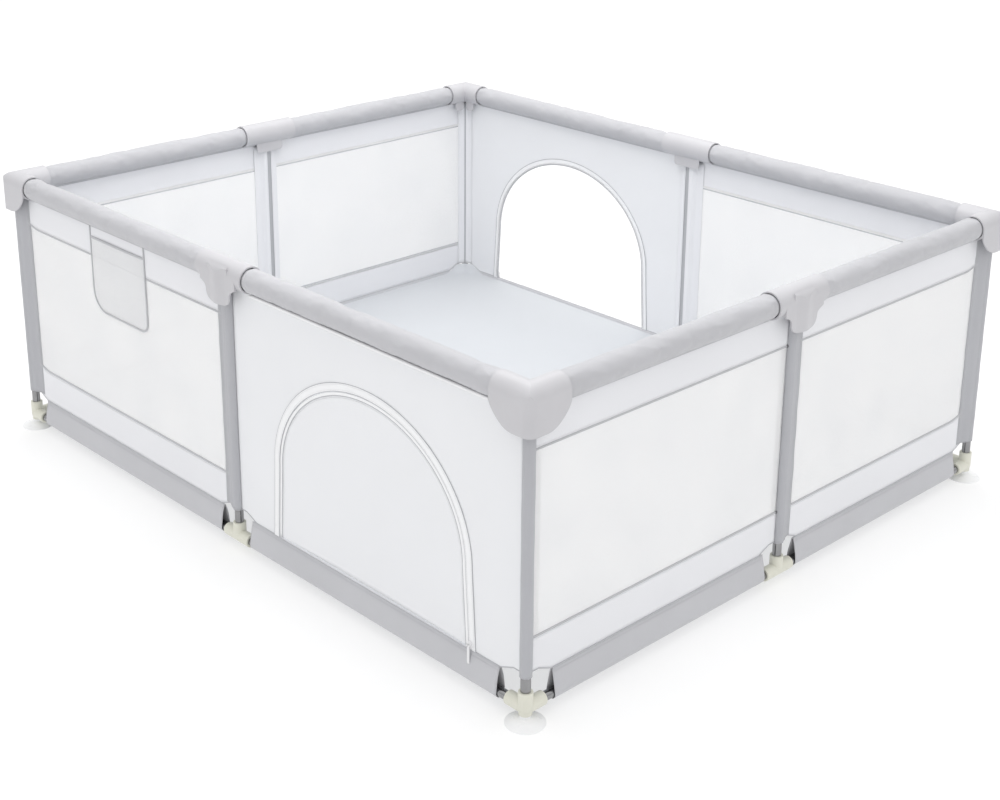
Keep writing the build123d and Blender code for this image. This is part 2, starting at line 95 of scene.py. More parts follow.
DOOR_GAP = 0.0012
SILL_Z = flap_low.z - DOOR_GAP
ARCH_TOP_Z = flap_high.z + DOOR_GAP
ARCH_Z = 0.250  # height where the upright legs end and the elliptical top begins
FOOT_HALF = (flap_high.x - flap_low.x) / 2 + DOOR_GAP
ARCH_HALF = FOOT_HALF - 0.010
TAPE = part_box("front_zipper_tape")[1].z - ARCH_TOP_Z
FLAP_EDGE = 0.0075  # white binding on the flap, beside the zipper
pocket_low, pocket_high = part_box("net_pocket")
MAT_TOP_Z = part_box("floor_mat")[1].z

OUT, IN = (0, -1, 0), (0, 1, 0)  # away from the playpen and into it, in a wall's frame
BELT_RISE = 0.014  # how far a wall's lower edge rises over the connectors
BELT_FLAT = 0.030
BAND_Z = (0.167, 0.530)  # inner edges of the lower and upper cloth bands
BAND_LIFT = 0.013  # how far those edges curve up beside a post
BAND_CURVE = 0.075


def half_side(side):
    return HALF_LENGTH if side in ("front", "back") else HALF_WIDTH


def wall_frame(side):
    reach = HALF_WIDTH if side in ("front", "back") else HALF_LENGTH
    return Matrix.Rotation(math.radians(TURN[side]), 4, "Z") @ Matrix.Translation((0, -reach, 0))


def corner_frame(corner):
    """Frame of a corner post, with the walls that meet there along +X and +Y."""
    x = HALF_LENGTH if "right" in corner else -HALF_LENGTH
    y = HALF_WIDTH if "back" in corner else -HALF_WIDTH
    turn = {"front_left": 0, "front_right": 90, "back_right": 180, "back_left": 270}[corner]
    return Matrix.Translation((x, y, 0)) @ Matrix.Rotation(math.radians(turn), 4, "Z")


# Mesh building

def ease(t):
    t = np.clip(t, 0, 1)
    return t * t * (3 - 2 * t)


def ripple(a, b, size, seed):
    """Smooth noise over two arrays of coordinates, between about -1 and 1."""
    flat = [noise.noise(Vector((u / size, v / size, seed))) for u, v in zip(np.ravel(a), np.ravel(b))]
    return np.reshape(flat, np.shape(a)) * 1.6


def lengths(points):
    """Distance along a line of points, from its start."""
    steps = np.linalg.norm(np.diff(points, axis=0), axis=1)
    return np.concatenate([[0], np.cumsum(steps)])


def grid(points, uv=None, wrap=False, capped=False):
    """A grid of points, rows by columns, with a UV in metres. wrap joins the last column to the first."""
    points = np.asarray(points, float)
    if uv is None:
        ring = np.concatenate([points[0], points[0][:1]]) if wrap else points[0]
        across, along = lengths(ring), lengths(points[:, 0])
        uv = np.stack(np.broadcast_arrays(across[None, :], along[:, None]), -1)
    return {"points": points, "uv": np.asarray(uv, float), "wrap": wrap, "capped": capped}


def add_object(name, mesh, material, matrix, body):
    """Puts a mesh in the scene, riding on a body, with its material."""
    mesh.shade_smooth()
    mesh.materials.append(material)
    mesh.transform(matrix)
    made = bpy.data.objects.new(name, mesh)
    bpy.context.scene.collection.objects.link(made)
    if body:
        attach(made, body)
    return made


def piece(name, grids, material, matrix=Matrix.Identity(4), body="frame"):
    """One object from one or more grids."""
    verts, faces, corners = [], [], []
    for g in grids:
        first = sum(len(v) for v in verts)
        rows, cols = g["points"].shape[:2]
        i, j = np.meshgrid(np.arange(rows - 1), np.arange(cols if g["wrap"] else cols - 1), indexing="ij")
        i, j = i.ravel(), j.ravel()
        k = (j + 1) % cols
        ring = [i * cols + j, i * cols + k, (i + 1) * cols + k, (i + 1) * cols + j]
        faces += (first + np.stack(ring, 1)).tolist()
        uv = g["uv"]
        corners.append(np.stack([uv[i, j], uv[i, j + 1], uv[i + 1, j + 1], uv[i + 1, j]], 1))
        if g["capped"]:
            for row, order in ((0, -1), (rows - 1, 1)):
                faces.append([first + row * cols + c for c in range(cols)][::order])
                corners.append(uv[row, :cols][::order][None])
        verts.append(g["points"].reshape(-1, 3))
    mesh = bpy.data.meshes.new(name)
    mesh.from_pydata(np.concatenate(verts).tolist(), [], faces)
    layer = mesh.uv_layers.new(name="UVMap")
    laid = np.concatenate([c.reshape(-1, 2) for c in corners]).ravel()
    layer.data.foreach_set("uv", laid.astype(np.float32))
    return add_object(name, mesh, material, matrix, body)


def thicken(made, thickness, offset=0.0):
    solid = made.modifiers.new("thickness", "SOLIDIFY")
    solid.thickness = thickness
    solid.offset = offset
    solid.use_even_offset = True
    return made


def ribbon(path, outward, width, thickness, round_it=10):
    """Flat rounded strip or piping along a path; outward is the way its face looks."""
    path = np.asarray(path, float)
    tangent = np.gradient(path, axis=0)
    tangent /= np.linalg.norm(tangent, axis=1)[:, None]
    outward = np.broadcast_to(np.asarray(outward, float), path.shape)
    side = np.cross(tangent, outward)
    side /= np.linalg.norm(side, axis=1)[:, None]
    face = np.cross(side, tangent)
    turn = np.linspace(0, 2 * math.pi, round_it, endpoint=False)
    flat = 0.55 if width > 2 * thickness else 1.0
    across = np.sign(np.cos(turn)) * np.abs(np.cos(turn)) ** flat * width / 2
    lift = np.sign(np.sin(turn)) * np.abs(np.sin(turn)) ** flat * thickness / 2
    points = path[:, None] + side[:, None] * across[None, :, None] + face[:, None] * lift[None, :, None]
    ring = lengths(np.stack([across, lift], 1)[list(range(round_it)) + [0]])
    uv = np.stack(np.broadcast_arrays(ring[None, :], lengths(path)[:, None]), -1)
    return grid(points, uv, wrap=True, capped=True)


def at_height(x, y, z):
    """Points at each x of a wall; y and z are one number, or one for each x."""
    return np.stack([np.zeros(len(x)) + part for part in (x, y, z)], 1)


def resample(path, step):
    path = np.asarray(path, float)
    run = lengths(path)
    where = np.linspace(0, run[-1], max(2, int(run[-1] / step) + 1))
    return np.stack([np.interp(where, run, path[:, k]) for k in range(3)], 1)


STITCH = (0.0030, 0.0045, 0.0008)  # a stitch's length, the pitch, and a thread's width


def stitches(name, paths, outward, material, matrix, body="frame"):
    """Rows of short stitches along paths, each a small closed lozenge standing out of the cloth."""
    long, pitch, wide = STITCH
    verts, faces = [], []
    outward = np.asarray(outward, float)
    for path in paths:
        spots = resample(path, pitch)
        ways = np.gradient(spots, axis=0)
        ways /= np.linalg.norm(ways, axis=1)[:, None]
        for spot, way in zip(spots[1:-1], ways[1:-1]):
            side = np.cross(way, outward) * wide / 2
            end, up = way * long / 2, outward * wide * 0.7
            n = len(verts)
            verts += [spot - end - side, spot - end + side, spot + end + side, spot + end - side]
            verts += [spot - end * 0.6 + up, spot + end * 0.6 + up]
            faces += [(n, n + 1, n + 2, n + 3), (n, n + 3, n + 5, n + 4), (n + 1, n + 4, n + 5, n + 2)]
            faces += [(n, n + 4, n + 1), (n + 3, n + 2, n + 5)]
    mesh = bpy.data.meshes.new(name)
    mesh.from_pydata([tuple(v) for v in verts], [], faces)
    return add_object(name, mesh, material, matrix, body)


# Materials

class Nodes:
    """A material's node tree, written as calls."""

    def __init__(self, name):
        self.material = bpy.data.materials.new(name)
        self.material.use_nodes = True
        self.tree = self.material.node_tree
        self.shader = self.tree.nodes["Principled BSDF"]

    def add(self, kind, **sockets):
        node = self.tree.nodes.new(kind)
        for name, value in sockets.items():
            self.put(node.inputs[name.replace("_", " ")], value)
        return node

    def put(self, socket, value):
        if isinstance(value, bpy.types.NodeSocket):
            self.tree.links.new(value, socket)
        else:
            socket.default_value = value

    def finish(self, **sockets):
        """Sets the shader's own sockets."""
        for name, value in sockets.items():
            self.shader.inputs[name.replace("_", " ")].default_value = value

    def math(self, operation, a, b=0.0):
        node = self.tree.nodes.new("ShaderNodeMath")
        node.operation = operation
        self.put(node.inputs[0], a)
        self.put(node.inputs[1], b)
        return node.outputs[0]

    def place(self, kind="Object"):
        return self.tree.nodes.new("ShaderNodeTexCoord").outputs[kind]

    def noise(self, where, scale, detail=2.0):
        return self.add("ShaderNodeTexNoise", Vector=where, Scale=scale, Detail=detail).outputs[0]

    def thread(self, where, pitch):
        """Warp and weft as two crossed waves of a UV in metres, each thread going over and under."""
        parts = self.add("ShaderNodeSeparateXYZ", Vector=where)
        waves = []
        for axis in (0, 1):
            turn = self.math("MULTIPLY", parts.outputs[axis], math.pi / pitch)
            waves.append(self.math("SINE", turn))
        over = self.math("MULTIPLY", waves[0], waves[1])
        return self.math("ABSOLUTE", over)

    def tint(self, factor, dark, light):
        ramp = self.tree.nodes.new("ShaderNodeValToRGB")
        ramp.color_ramp.elements[0].color = (*dark, 1)
        ramp.color_ramp.elements[1].color = (*light, 1)
        ramp.color_ramp.elements[0].position, ramp.color_ramp.elements[1].position = 0.3, 0.7
        self.put(ramp.inputs[0], factor)
        self.put(self.shader.inputs["Base Color"], ramp.outputs[0])

    def bump(self, height, distance, strength=1.0, normal=None):
        node = self.add("ShaderNodeBump", Height=height, Distance=distance, Strength=strength)
        if normal is not None:
            self.put(node.inputs["Normal"], normal)
        self.put(self.shader.inputs["Normal"], node.outputs[0])
        return node.outputs[0]


def shade(colour, by):
    return tuple(min(1.0, c * by) for c in colour)


def cloth(name, colour, pitch, roughness=0.75, sheen=0.25, crease=0.0004, vary=0.05):
    """Woven cloth: thread weave, slubs, faint creases, and a little unevenness of its dye."""
    n = Nodes(name)
    uv, place = n.place("UV"), n.place()
    weave = n.thread(uv, pitch)
    slub = n.noise(uv, 0.35 / pitch, 3.0)
    cloud = n.noise(place, 5.0, 3.0)
    mixed = n.math("ADD", n.math("MULTIPLY", weave, 0.25), n.math("MULTIPLY", slub, 0.35))
    mixed = n.math("ADD", mixed, n.math("MULTIPLY", cloud, 0.45))
    n.tint(mixed, shade(colour, 1 - vary), shade(colour, 1 + vary))
    fine = n.bump(weave, pitch * 0.35, 0.6)
    n.bump(n.noise(place, 38.0, 3.0), crease, 1.0, fine)
    rough = n.math("ADD", n.math("MULTIPLY", slub, 0.16), roughness - 0.08)
    n.put(n.shader.inputs["Roughness"], rough)
    n.finish(Sheen_Weight=sheen, Sheen_Roughness=0.4, Specular_IOR_Level=0.35)
    return n.material


def netting(name, colour, pitch, cover):
    """Fine knitted net: round-cornered holes between threads, each hole fully see-through."""
    n = Nodes(name)
    parts = n.add("ShaderNodeSeparateXYZ", Vector=n.place("UV"))
    across = n.math("MULTIPLY", parts.outputs[0], 2 * math.pi / pitch)
    along = n.math("MULTIPLY", parts.outputs[1], 2 * math.pi / pitch)
    rising = n.math("COSINE", n.math("ADD", across, along))
    falling = n.math("COSINE", n.math("SUBTRACT", across, along))
    wave = n.math("ADD", rising, falling)
    hole = n.math("MULTIPLY", wave, 0.25)
    hole = n.math("ADD", hole, 0.5)
    soft = 0.04
    limits = {"From_Min": cover - soft, "From_Max": cover + soft, "To_Min": 1.0, "To_Max": 0.0}
    edge = n.add("ShaderNodeMapRange", Value=hole, **limits)
    edge.interpolation_type = "SMOOTHSTEP"
    n.put(n.shader.inputs["Alpha"], edge.outputs[0])
    n.tint(n.noise(n.place(), 9.0, 2.0), shade(colour, 0.97), shade(colour, 1.03))
    n.bump(hole, -pitch * 0.25, 0.5)
    n.finish(Roughness=0.6, Sheen_Weight=0.2, Specular_IOR_Level=0.3)
    return n.material


def plastic(name, colour, roughness, grain=420.0, depth=0.00006):
    """Moulded plastic: fine mould grain, cloudy gloss and faint scuffs."""
    n = Nodes(name)
    place = n.place()
    cloud = n.noise(place, 14.0, 4.0)
    n.tint(cloud, shade(colour, 0.97), shade(colour, 1.02))
    n.bump(n.noise(place, grain, 2.0), depth, 0.8)
    scuff = n.math("MULTIPLY", n.noise(place, 60.0, 5.0), 0.22)
    n.put(n.shader.inputs["Roughness"], n.math("ADD", scuff, roughness - 0.11))
    n.finish(IOR=1.45)
    return n.material


def metal(name, colour, roughness):
    """Drawn and plated steel with fine lengthwise scratches."""
    n = Nodes(name)
    place = n.place()
    n.tint(n.noise(place, 30.0, 3.0), shade(colour, 0.9), shade(colour, 1.1))
    n.bump(n.noise(place, 900.0, 2.0), 0.00002, 0.5)
    worn = n.math("MULTIPLY", n.noise(place, 200.0), 0.15)
    n.put(n.shader.inputs["Roughness"], n.math("ADD", worn, roughness - 0.07))
    n.finish(Metallic=1.0)
    return n.material


RAIL_CLOTH = cloth("rail_cloth", (0.540, 0.540, 0.563), 0.00055, roughness=0.62, sheen=0.35)
POST_CLOTH = cloth("post_cloth", (0.470, 0.475, 0.500), 0.00055, roughness=0.66, sheen=0.2)
HEM_CLOTH = cloth("hem_cloth", (0.575, 0.577, 0.600), 0.00055, roughness=0.62, sheen=0.3)
BAND_CLOTH = cloth("band_cloth", (0.850, 0.855, 0.880), 0.00045, roughness=0.7, vary=0.02)
DOOR_CLOTH = cloth("door_cloth", (0.868, 0.876, 0.895), 0.00040, roughness=0.7, vary=0.02)
MAT_CLOTH = cloth("mat_cloth", (0.620, 0.640, 0.668), 0.00050, roughness=0.68, vary=0.02, crease=0.0008)
TRIM_CLOTH = cloth("trim_cloth", (0.520, 0.525, 0.545), 0.00040, roughness=0.7)
PIPING_CLOTH = cloth("piping_cloth", (0.960, 0.960, 0.965), 0.00040, roughness=0.55, sheen=0.4, vary=0.01)
TAPE_CLOTH = cloth("tape_cloth", (0.950, 0.955, 0.965), 0.00060, roughness=0.6, sheen=0.3, vary=0.01)
TACK_THREAD = plastic("tack_thread", (0.160, 0.160, 0.170), 0.6, grain=3000.0)
THREAD = plastic("thread", (0.520, 0.520, 0.540), 0.6, grain=3000.0)
WHITE_THREAD = plastic("white_thread", (0.900, 0.900, 0.910), 0.6, grain=3000.0)
WALL_NET = netting("wall_net", (0.990, 0.993, 0.998), 0.0016, 0.64)
POCKET_NET = netting("pocket_net", (0.960, 0.965, 0.980), 0.0016, 0.55)
CAP_PLASTIC = plastic("cap_plastic", (0.565, 0.560, 0.580), 0.42)
CONNECTOR_PLASTIC = plastic("connector_plastic", (0.740, 0.735, 0.640), 0.38)
CUP_RUBBER = plastic("cup_rubber", (0.950, 0.955, 0.960), 0.30, depth=0.00003)
SLIDER_METAL = plastic("slider_enamel", (0.830, 0.830, 0.840), 0.30, depth=0.00003)
TUBE_STEEL = metal("tube_steel", (0.300, 0.300, 0.305), 0.16)
COIL_NYLON = plastic("coil_nylon", (0.800, 0.800, 0.810), 0.35, depth=0.00002)


def dress(node, material):
    """Gives a CAD node its own material."""
    made = frame["nodes"][node]
    made.data.materials.clear()
    made.data.materials.append(material)


for node_name in frame["nodes"]:
    if node_name.endswith("_cap"):
        dress(node_name, CAP_PLASTIC)
    elif node_name.endswith("_connector"):
        dress(node_name, CONNECTOR_PLASTIC)
    elif node_name.endswith("_suction_cup"):
        dress(node_name, CUP_RUBBER)
    elif node_name.endswith("_tubes"):
        dress(node_name, TUBE_STEEL)
    elif node_name.endswith(("_slider", "_pull")):
        dress(node_name, SLIDER_METAL)


# Padded rail covers

COVER_INTO_CAP = 0.018
COVER_TAPER = 0.012
COVER_GROW = 0.0012  # the most that the simulation may push the cloth out


def settle(made, pins, frames=14):
    """Cloth simulation of a filled cover: pressure from inside, gravity off, ends and seam held."""
    scene = bpy.context.scene
    group = made.vertex_groups.new(name="held")
    group.add([int(i) for i in pins], 1.0, "REPLACE")
    sim = made.modifiers.new("cloth", "CLOTH")
    sim.settings.quality = 4
    sim.settings.mass = 0.25
    sim.settings.tension_stiffness = 18
    sim.settings.compression_stiffness = 12
    sim.settings.bending_stiffness = 0.3
    sim.settings.use_pressure = True
    sim.settings.uniform_pressure_force = 4
    sim.settings.effector_weights.gravity = 0
    sim.settings.vertex_group_mass = "held"
    sim.settings.shrink_min = -0.012
    sim.collision_settings.use_collision = False
    sim.point_cache.frame_start, sim.point_cache.frame_end = 1, frames
    for step in range(1, frames + 1):
        scene.frame_set(step)
    evaluated = made.evaluated_get(bpy.context.evaluated_depsgraph_get())
    moved = np.empty(len(made.data.vertices) * 3)
    evaluated.data.vertices.foreach_get("co", moved)
    made.modifiers.remove(sim)
    scene.frame_set(1)
    return moved.reshape(-1, 3)


def rail_cover(length, mouths):
    """Points of a cover lying along +x from 0 to length, seam below, with the cloth settled on its foam."""
    rows, round_it = int(length / 0.0062), 44
    x = np.linspace(0, length, rows)
    turn = -math.pi / 2 + np.linspace(0, 2 * math.pi, round_it, endpoint=False)
    reach = np.minimum(x, length - x)
    mouth = np.where(x < length / 2, mouths[0], mouths[1])
    radius = PAD_R * (1 - 0.115 * (1 - ease((reach - mouth + COVER_TAPER * 0.35) / COVER_TAPER)))
    soft = ripple(*np.meshgrid(turn * 0.02, x, indexing="xy"), 0.045, length * 7)
    ring = radius[:, None] + 0.00025 * soft
    points = np.stack([
        np.broadcast_to(x[:, None], ring.shape),
        ring * np.cos(turn)[None, :],
        ring * np.sin(turn)[None, :],
    ], -1)
    scratch = piece("scratch_cover", [grid(points, wrap=True)], RAIL_CLOTH, body=None)
    ends = reach < mouth + 0.004
    held = np.zeros(ring.shape, bool)
    held[ends] = True
    held[:, 0] = True
    moved = settle(scratch, np.flatnonzero(held)).reshape(points.shape)
    bpy.data.objects.remove(scratch)
    shift = moved - points
    size = np.linalg.norm(shift, axis=-1, keepdims=True)
    return points + shift * np.minimum(1, COVER_GROW / np.maximum(size, 1e-9))


covers = {}


def add_rail_covers(side):
    half, matrix = half_side(side), wall_frame(side)
    for sign, end in ((-1, "left"), (1, "right")):
        start = MID_ARM - COVER_INTO_CAP
        length = half - CORNER_ARM + COVER_INTO_CAP - start
        if length not in covers:
            covers[length] = rail_cover(length, (COVER_INTO_CAP, COVER_INTO_CAP))
        points = covers[length].copy()
        points[..., 0] += start
        if sign < 0:
            points[..., 0] *= -1
            points = points[::-1]
        points[..., 2] += RAIL_Z
        # Seen from outside, the left half runs the other way, so its ring is turned to match.
        name = f"{side}_{end}_rail"
        made_grid = grid(points, wrap=True)
        cover = piece(f"{name}_cover", [made_grid], RAIL_CLOTH, matrix)
        thicken(cover, 0.0008, -1)
        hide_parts(f"{side}_rail_pads")
        low, high = sorted((sign * (start + 0.02), sign * (start + length - 0.02)))
        x = np.linspace(low, high, 60)
        line = at_height(x, 0, RAIL_Z - PAD_R - 0.0015)
        seam = ribbon(line, OUT, 0.009, 0.0036)
        piece(f"{name}_seam", [seam], RAIL_CLOTH, matrix)
        row = [line + (0, -0.0019, -0.0005)]
        stitches(f"{name}_stitching", row, OUT, THREAD, matrix)
        if end == "right" and side in ("front", "back"):
            bead = ribbon(line + (0, -0.0052, -0.0048), OUT, 0.0064, 0.0064)
            piece(f"{side}_rail_piping", [bead], PIPING_CLOTH, matrix)


# Sleeves on the posts

FLAP_HALF = 0.0016
FLAPS = {"corner": 0.050, "front": 0.041, "right": 0.036, "back": 0.041, "left": 0.036}


def sleeve_outline(flaps):
    """Closed outline of a sleeve round a post at the origin, with its flaps along +X, +Y or -X."""
    r = SLEEVE_R - 0.0002
    if not flaps:
        turn = np.linspace(0, 2 * math.pi, 40, endpoint=False)
        return np.stack([r * np.cos(turn), r * np.sin(turn)], 1)
    way, reach = flaps[0]
    neck = 0.55 * reach + 0.3 * r
    touch = math.acos(min(1, r / neck))
    upper = np.array([
        (reach, FLAP_HALF * 0.8), (neck + 0.006, FLAP_HALF), (neck, FLAP_HALF * 1.6), (0.62 * neck, 0.62 * r),
    ])
    turn = np.linspace(touch * 0.8, 2 * math.pi - touch * 0.8, 34)
    ring = np.stack([r * np.cos(turn), r * np.sin(turn)], 1)
    lower = (upper * (1, -1))[::-1]
    one = np.concatenate([upper, ring, lower])
    if len(flaps) == 2:
        # A flap each way: the outer side goes right round the post, and the inner side is one corner.
        swap = upper[:, ::-1]
        turn = np.linspace(math.pi / 2 + touch * 0.8, 2 * math.pi - touch * 0.8, 30)
        ring = np.stack([r * np.cos(turn), r * np.sin(turn)], 1)
        inner = np.array([(0.0142, 0.0050), (0.0094, 0.0094), (0.0050, 0.0142)])
        back_x = np.array([(neck + 0.006, FLAP_HALF), (neck * 0.8, FLAP_HALF * 1.2)])
        return np.concatenate([
            [(FLAP_HALF * -0.8, reach)], (swap * (-1, 1))[1:], ring,
            lower[:-1], [(reach, -FLAP_HALF * 0.8)],
            [(reach, FLAP_HALF * 0.8)], back_x, inner, back_x[::-1, ::-1], [(FLAP_HALF * 0.8, reach)],
        ])
    c, s = math.cos(way), math.sin(way)
    return one @ np.array([[c, s], [-s, c]])


def post_sleeve(name, node, matrix, flaps, seed):
    outline = sleeve_outline(flaps)
    fine = []
    for a, b in zip(outline, np.roll(outline, -1, axis=0)):
        count = max(1, int(np.linalg.norm(b - a) / 0.004))
        fine += [a + (b - a) * k / count for k in range(count)]
    outline = np.array(fine)
    rows = 70
    z = np.linspace(SLEEVE_Z[0] + 0.0005, SLEEVE_Z[1] - 0.0005, rows)
    out = outline / np.maximum(np.linalg.norm(outline, axis=1), 1e-6)[:, None]
    angle = np.arctan2(outline[:, 1], outline[:, 0])
    wave = ripple(*np.meshgrid(np.cos(angle) * 0.02 + outline[:, 0], z, indexing="xy"), 0.045, seed)
    calm = np.clip(np.linalg.norm(outline, axis=1) / SLEEVE_R - 1, 0, 1)
    wave = wave * (0.00035 + 0.0005 * calm[None, :])
    hang = 0.0022 * calm[None, :] * ease(1 - (z - z[0]) / 0.05)[:, None]
    points = np.empty((rows, len(outline), 3))
    points[..., :2] = outline[None] + out[None] * wave[..., None]
    points[..., 2] = z[:, None] + hang
    made = piece(name, [grid(points, wrap=True)], POST_CLOTH, matrix)
    thicken(made, 0.0007, -1)
    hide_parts(node)
    height = np.linspace(z[0] + 0.006, z[-1] - 0.03, 60)
    for index, (way, reach) in enumerate(flaps):
        along = np.array([math.cos(way), math.sin(way)])
        x, y = along * (reach - 0.006)
        line = at_height(np.full(60, x), y, height)
        for face, label in ((-1, "outer"), (1, "inner")):
            outward = np.array([-along[1], along[0], 0]) * face
            row = [line + outward * FLAP_HALF * 0.95]
            stitches(f"{name}_stitching_{index + 1}_{label}", row, outward, THREAD, matrix)


def add_liner(name, way, matrix, mirrored=False):
    """Light strip inside the playpen that carries a wall's edge on to the sleeve of its post."""
    way = resample(np.array([(x, y, 0) for x, y in way]), 0.0012)
    z = np.linspace(SLEEVE_Z[0] + 0.004, SLEEVE_Z[1] - 0.004, 50)
    points = np.empty((len(z), len(way), 3))
    points[..., 0], points[..., 1] = way[None, :, 0], way[None, :, 1]
    points[..., 2] = z[:, None]
    if mirrored:
        points = points[..., (1, 0, 2)]
    thicken(piece(name, [grid(points)], BAND_CLOTH, matrix), 0.0007)


def liner_way(flap, last):
    """Plan of a liner from the wall on to a sleeve, as far round the sleeve as the angle last."""
    r = SLEEVE_R + 0.0010
    if flap:
        neck = 0.55 * flap + 0.3 * SLEEVE_R
        way = [(flap + 0.006, 0.0014), (flap - 0.003, 0.0026), (neck + 0.006, 0.0030), (neck, 0.0040)]
        way.append((0.62 * neck, 0.62 * r + 0.0010))
        first = math.radians(50)
    else:
        way = [(0.030, 0.0014), (0.020, 0.0026), (0.0150, 0.0044)]
        first = math.radians(26)
    turn = np.linspace(min(first, last - 0.1), last, 5)
    return way + [(r * math.cos(a), r * math.sin(a)) for a in turn]


def add_liners():
    for corner in ("front_left", "front_right", "back_right", "back_left"):
        if corner in ("front_left", "back_right"):
            way = [(0.056, 0.0014), (0.047, 0.0024), (0.037, 0.0026), (0.026, 0.0030)]
            way += [(0.0150, 0.0060), (0.0122, 0.0088)]
        else:
            way = liner_way(0, math.radians(37))
        for index in range(2):
            add_liner(f"{corner}_liner_{index + 1}", way, corner_frame(corner), index == 1)
    for side in TURN:
        for sign, label in ((1, "right"), (-1, "left")):
            flapped = (sign < 0) == (side in ("front", "back"))
            way = liner_way(FLAPS[side] if flapped else 0, math.radians(64))
            add_liner(f"{side}_mid_liner_{label}", [(sign * x, y) for x, y in way], wall_frame(side))


def add_post_sleeves():
    for index, corner in enumerate(("front_left", "front_right", "back_right", "back_left")):
        reach = FLAPS["corner"]
        flaps = [(0, reach), (math.pi / 2, reach)] if corner in ("front_left", "back_right") else []
        post_sleeve(f"{corner}_sleeve", f"{corner}_post_sleeve", corner_frame(corner), flaps, 3.0 + index)
    for index, side in enumerate(TURN):
        way = math.pi if side in ("front", "back") else 0
        flaps = [(way, FLAPS[side])]
        post_sleeve(f"{side}_mid_sleeve", f"{side}_mid_post_sleeve", wall_frame(side), flaps, 9.0 + index)


# Hems round the bottom tubes

def hem_outline():
    """From the seam at the top down the outer face, round the tube and up the inner face."""
    top, half = hem_high.z, 0.0022
    drop = top - HEM_TUBE_Z
    touch = math.acos(HEM_R / math.hypot(drop, half))
    lean = math.atan2(half, drop)
    start = math.pi / 2 + (touch - lean)
    turn = np.linspace(start, 3 * math.pi - start, 34)
    ring = np.stack([HEM_R * np.cos(turn), HEM_TUBE_Z + HEM_R * np.sin(turn)], 1)
    straight = [np.array([-half, top]) + (ring[0] - (-half, top)) * k / 12 for k in range(12)]
    other = [ring[-1] + (np.array([half, top]) - ring[-1]) * k / 12 for k in range(1, 13)]
    return np.concatenate([straight, ring, other])


def add_hems(side):
    half, matrix = half_side(side), wall_frame(side)
    outline = hem_outline()
    for sign, end in ((-1, "left"), (1, "right")):
        low, high = sorted((sign * HEM_MID_GAP, sign * (half - HEM_CORNER_GAP)))
        rows = 130
        x = np.linspace(low, high, rows)
        seed = 20 + TURN[side] / 90 * 3 + sign
        flatness = np.clip((outline[:, 1] - HEM_TUBE_Z) / (hem_high.z - HEM_TUBE_Z), 0, 1)
        loose = np.sin(flatness * math.pi) * 0.0011
        wave = ripple(*np.meshgrid(outline[:, 1], x * 0.8, indexing="xy"), 0.05, seed) * loose[None, :]
        puff = np.sin(flatness * math.pi) * 0.0012
        away = np.sign(outline[:, 0])[None, :]
        points = np.empty((rows, len(outline), 3))
        points[..., 0] = x[:, None]
        points[..., 1] = outline[None, :, 0] + away * (wave + puff[None, :])
        points[..., 1] = np.clip(points[..., 1], -HEM_R, HEM_R)
        points[..., 2] = outline[None, :, 1]
        name, slot = f"{side}_{end}_hem", "sleeve_cloth"
        hem = piece(name, [grid(points, wrap=True)], HEM_CLOTH, matrix)
        thicken(hem, 0.0007, -1)
        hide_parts(f"{side}_bottom_sleeves")
        bead = ribbon(at_height(x, -0.0022, hem_high.z + 0.0004), OUT, 0.0026, 0.0022)
        piece(f"{name}_piping", [bead], TRIM_CLOTH, matrix)
        row = [at_height(x, -0.0042, hem_high.z - 0.0062)]
        stitches(f"{name}_stitching", row, OUT, THREAD, matrix)


# Walls

def wall_limits(side, half_index):
    half = half_side(side)
    return (-half + WALL_CLEAR, -WALL_CLEAR) if half_index == 0 else (WALL_CLEAR, half - WALL_CLEAR)


def lower_edge(x, left, right):
    """Height of a wall's lower edge, which rises at both ends over the connectors."""
    reach = np.minimum(x - left, right - x)
    fall = (reach - (BELT_FLAT - WALL_CLEAR)) / (HEM_CORNER_GAP - BELT_FLAT)
    return WALL_Z[0] + BELT_RISE * (1 - np.clip(fall, 0, 1))


def columns(left, right, step):
    """Positions across a wall, closer together near its ends."""
    ends = np.array([0, 6, 12, 18, 24, 28, 32, 37, 42, 47, 52, 58, 66, 75]) / 1000
    middle = np.linspace(left + ends[-1], right - ends[-1], int((right - left) / step))
    return np.concatenate([left + ends[:-1], middle, (right - ends[:-1])[::-1]])


def band_edge(x, left, right, height, lifted):
    """A band's inner edge; it curves up where the wall meets a sleeve with two flaps."""
    reach = {"left": x - left, "right": right - x}.get(lifted, np.ones(len(x)))
    return height + BAND_LIFT * ease(1 - reach / BAND_CURVE)


def sheet_between(x, low, high, rows, y, swell, seed):
    """Grid on a wall between two edges given at each x, with a soft unevenness off the wall plane."""
    t = np.linspace(0, 1, rows)[:, None]
    z = low[None, :] * (1 - t) + high[None, :] * t
    across = np.broadcast_to(x[None, :], z.shape)
    hold = np.minimum(1, np.minimum(across - x[0], x[-1] - across) / 0.05)
    hold = hold * np.minimum(1, 4 * t * (1 - t) + 0.15)
    off = y - np.abs(ripple(across, z, 0.16, seed)) * swell * hold
    return grid(np.stack([across, off, z], -1), np.stack([across, z], -1))


def foot_trim(x, foot):
    """Binding along a wall's lower edge."""
    return ribbon(at_height(x, -0.0004, foot + 0.0010), OUT, 0.0030, 0.0028)


